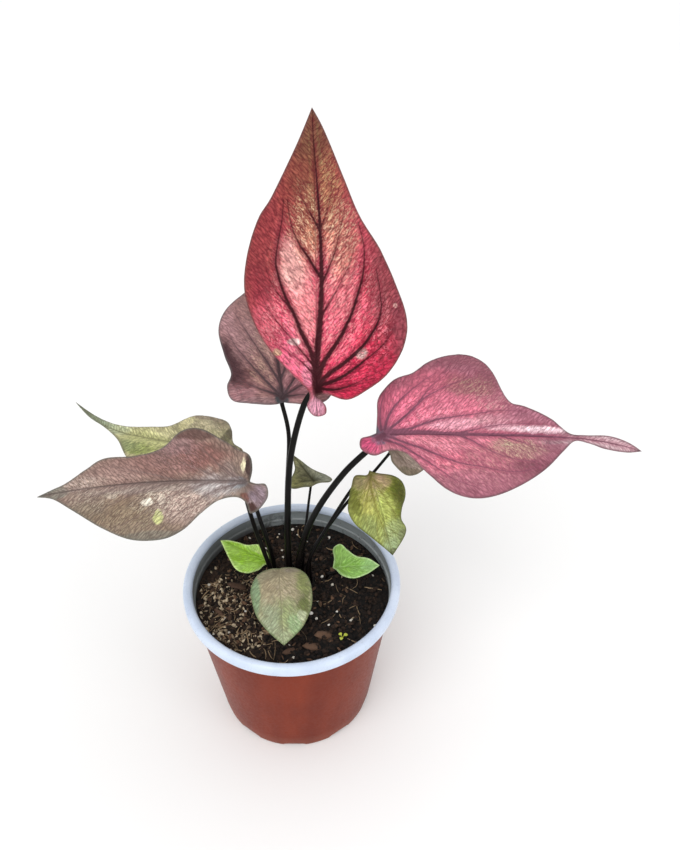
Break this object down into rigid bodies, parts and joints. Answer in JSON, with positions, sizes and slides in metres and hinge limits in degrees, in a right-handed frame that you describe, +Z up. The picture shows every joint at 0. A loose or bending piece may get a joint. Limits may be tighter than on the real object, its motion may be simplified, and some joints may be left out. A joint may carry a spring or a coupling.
{
  "type": "potted caladium",
  "caption": "Caladium with broad heart-shaped patterned blades on slender dark petioles, rising from a tuber in soil in a round flared nursery pot",
  "frame": {"origin": "centre of the pot's flat underside, on the surface that the pot stands on", "axes": "+Z up the pot's axis, +X to the right and +Y to the back seen from the side that the largest blade faces"},
  "size_m": [0.3525, 0.1922, 0.3852],
  "materials": {
    "pot": "moulded two-tone nursery plastic, terracotta outside, near-black inside, pale lip",
    "soil": "moist peat mix with bark, fibres and perlite",
    "tuber": "corky tuber skin",
    "petiole": "smooth waxy near-black stalk",
    "leaf_red": "satin blade, crimson between dark maroon veins, bronze margin",
    "leaf_mauve": "satin blade, dusty mauve",
    "leaf_pink": "satin blade, rose pink with mauve margin and grey-mauve veins",
    "leaf_brown": "ageing blade, dull mauve brown with cream flecks",
    "leaf_olive": "satin blade, yellow green to olive",
    "leaf_beige": "pale underside, greyish beige",
    "leaf_sage": "satin blade, sage green flushed brown-pink in the middle",
    "leaf_lime": "young blade, bright fresh green"
  },
  "bodies": {
    "root": {"pot": "pot", "soil": "soil", "tuber": "tuber", "petiole_upright": "petiole", "petiole_behind": "petiole", "petiole_right": "petiole", "petiole_left": "petiole", "petiole_left_rear": "petiole", "petiole_rear_small": "petiole", "petiole_right_low": "petiole", "petiole_right_rear": "petiole", "petiole_front": "petiole", "petiole_bright_left": "petiole", "petiole_bright_right": "petiole", "blade_upright": "leaf_red", "blade_behind": "leaf_mauve", "blade_right": "leaf_pink", "blade_left": "leaf_brown", "blade_left_rear": "leaf_olive", "blade_rear_small": "leaf_olive", "blade_right_low": "leaf_olive", "blade_right_rear": "leaf_beige", "blade_front": "leaf_sage", "blade_bright_left": "leaf_lime", "blade_bright_right": "leaf_lime"}
  },
  "joints": []
}
